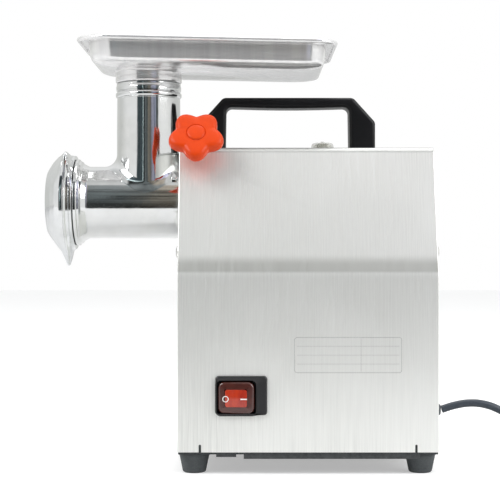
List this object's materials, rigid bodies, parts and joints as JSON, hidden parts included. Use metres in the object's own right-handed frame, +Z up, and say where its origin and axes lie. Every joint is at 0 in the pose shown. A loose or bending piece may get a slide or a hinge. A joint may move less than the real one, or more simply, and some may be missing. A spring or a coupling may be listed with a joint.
{
  "type": "electric meat grinder",
  "caption": "Countertop electric meat grinder: folded steel casing, clamped grinding head with auger, plate and lobed ring nut, feed tray, handle, rocker switch and mains cord.",
  "frame": {"origin": "middle of the machine's footprint, on the surface its feet stand on; the cord and plug are not counted", "axes": "+Z up, +X from the grinding head to the cord end, -Y the side with the switch and the clamp knob"},
  "size_m": [0.5193, 0.2047, 0.358],
  "materials": {
    "casing_steel": "vertical brushed grain",
    "dark_sheet": "matt dark coating",
    "foot_rubber": "matt",
    "handle_plastic": "fine satin texture",
    "fastener_steel": "plated",
    "switch_black": "satin black",
    "switch_red": "translucent red",
    "boot_rubber": "translucent",
    "gearbox_cast": "as cast",
    "gear_steel": "machined, oiled",
    "bearing_steel": "ground",
    "motor_cast": "as cast",
    "stator_iron": "lacquered windings",
    "rotor_iron": "laminated",
    "white_plastic": "moulded",
    "head_alloy": "polished casting",
    "auger_iron": "tumbled casting",
    "knife_steel": "ground",
    "plate_steel": "ground face",
    "nut_alloy": "polished",
    "tray_steel": "polished stainless",
    "knob_orange": "moulded orange",
    "cord_sheath": "matt dark blue-grey",
    "plug_plastic": "moulded",
    "pin_nickel": "nickel plated"
  },
  "bodies": {
    "machine": {"casing_shell": "casing_steel", "front_panel": "casing_steel", "rear_panel": "casing_steel", "base_plate": "dark_sheet", "foot_front_near": "foot_rubber", "foot_front_far": "foot_rubber", "foot_rear_near": "foot_rubber", "foot_rear_far": "foot_rubber", "carry_handle": "handle_plastic", "handle_screw_front": "fastener_steel", "handle_screw_rear": "fastener_steel", "front_panel_screw_near": "fastener_steel", "front_panel_screw_far": "fastener_steel", "rear_panel_screw_near": "fastener_steel", "rear_panel_screw_far": "fastener_steel", "switch_bezel": "switch_black", "switch_body": "switch_black", "breaker_body": "switch_black", "reset_boot": "boot_rubber", "gearbox_housing": "gearbox_cast", "gearbox_cover": "gearbox_cast", "idler_shaft": "gear_steel", "output_bearing_front": "bearing_steel", "output_bearing_rear": "bearing_steel", "motor_bearing_front": "bearing_steel", "motor_bearing_rear": "bearing_steel", "motor_housing": "motor_cast", "motor_end_cover": "motor_cast", "stator": "stator_iron", "run_capacitor": "white_plastic", "terminal_block": "white_plastic", "cord": "cord_sheath", "cord_coil": "cord_sheath", "cord_tail": "cord_sheath", "plug_body": "plug_plastic", "strain_relief": "plug_plastic", "plug_pin_left": "pin_nickel", "plug_pin_right": "pin_nickel"},
    "rotor": {"rotor_core": "rotor_iron", "motor_shaft": "gear_steel", "motor_pinion": "gear_steel", "cooling_fan": "white_plastic"},
    "idler": {"idler_gear": "gear_steel", "idler_pinion": "gear_steel"},
    "output": {"output_gear": "gear_steel", "output_shaft": "gear_steel"},
    "head": {"head_barrel": "head_alloy", "plate_pin": "fastener_steel", "auger_washer": "white_plastic"},
    "auger": {"auger": "auger_iron", "cutting_knife": "knife_steel"},
    "plate": {"hole_plate": "plate_steel"},
    "ring_nut": {"ring_nut": "nut_alloy"},
    "tray": {"feed_tray": "tray_steel"},
    "clamp_carrier": {"clamp_washer": "fastener_steel"},
    "clamp_knob": {"clamp_knob": "knob_orange", "clamp_stud": "fastener_steel"},
    "rocker": {"switch_rocker": "switch_red"},
    "reset": {"reset_button": "switch_black"}
  },
  "joints": [
    {"name": "motor_spin", "type": "hinge", "parent": "machine", "child": "rotor", "pos_m": [0.09, 0, 0.13648], "axis": [1, 0, 0], "continuous": true},
    {"name": "idler_spin", "type": "hinge", "parent": "machine", "child": "idler", "pos_m": [0.012, 0, 0.17488], "axis": [1, 0, 0], "continuous": true},
    {"name": "output_spin", "type": "hinge", "parent": "machine", "child": "output", "pos_m": [0, 0, 0.221], "axis": [1, 0, 0], "continuous": true},
    {"name": "head_slide", "type": "slide", "parent": "machine", "child": "head", "axis": [-1, 0, 0], "range_m": [0, 0.045]},
    {"name": "auger_spin", "type": "hinge", "parent": "head", "child": "auger", "pos_m": [-0.08, 0, 0.221], "axis": [1, 0, 0], "continuous": true},
    {"name": "plate_slide", "type": "slide", "parent": "head", "child": "plate", "axis": [-1, 0, 0], "range_m": [0, 0.0141]},
    {"name": "ring_nut_turn", "type": "hinge", "parent": "plate", "child": "ring_nut", "pos_m": [-0.15, 0, 0.221], "axis": [-1, 0, 0], "range_deg": [0, 1260]},
    {"name": "tray_lift", "type": "slide", "parent": "head", "child": "tray", "axis": [0, 0, 1], "range_m": [0, 0.045]},
    {"name": "clamp_travel", "type": "slide", "parent": "machine", "child": "clamp_carrier", "axis": [0, -0.8572, 0.515], "range_m": [0, 0.00375]},
    {"name": "clamp_turn", "type": "hinge", "parent": "clamp_carrier", "child": "clamp_knob", "pos_m": [-0.0305, -0.084, 0.27147], "axis": [0, -0.8572, 0.515], "range_deg": [0, 1081]},
    {"name": "rocker_tilt", "type": "hinge", "parent": "machine", "child": "rocker", "pos_m": [0.00195, -0.1, 0.0618], "axis": [0, 0, 1], "range_deg": [0, 10]},
    {"name": "reset_press", "type": "slide", "parent": "machine", "child": "reset", "axis": [0, 0, -1], "range_m": [0, 0.0025], "stiffness_N_per_m": 400, "springref_m": -0.0005}
  ],
  "couplings": [
    {"joint": "idler_spin", "follows": "motor_spin", "ratio": -0.33333},
    {"joint": "output_spin", "follows": "motor_spin", "ratio": 0.12222},
    {"joint": "auger_spin", "follows": "motor_spin", "ratio": 0.12222},
    {"joint": "plate_slide", "follows": "ring_nut_turn", "m_per_rad": 0.00063662},
    {"joint": "clamp_turn", "follows": "clamp_travel", "rad_per_m": 5026.5}
  ]
}
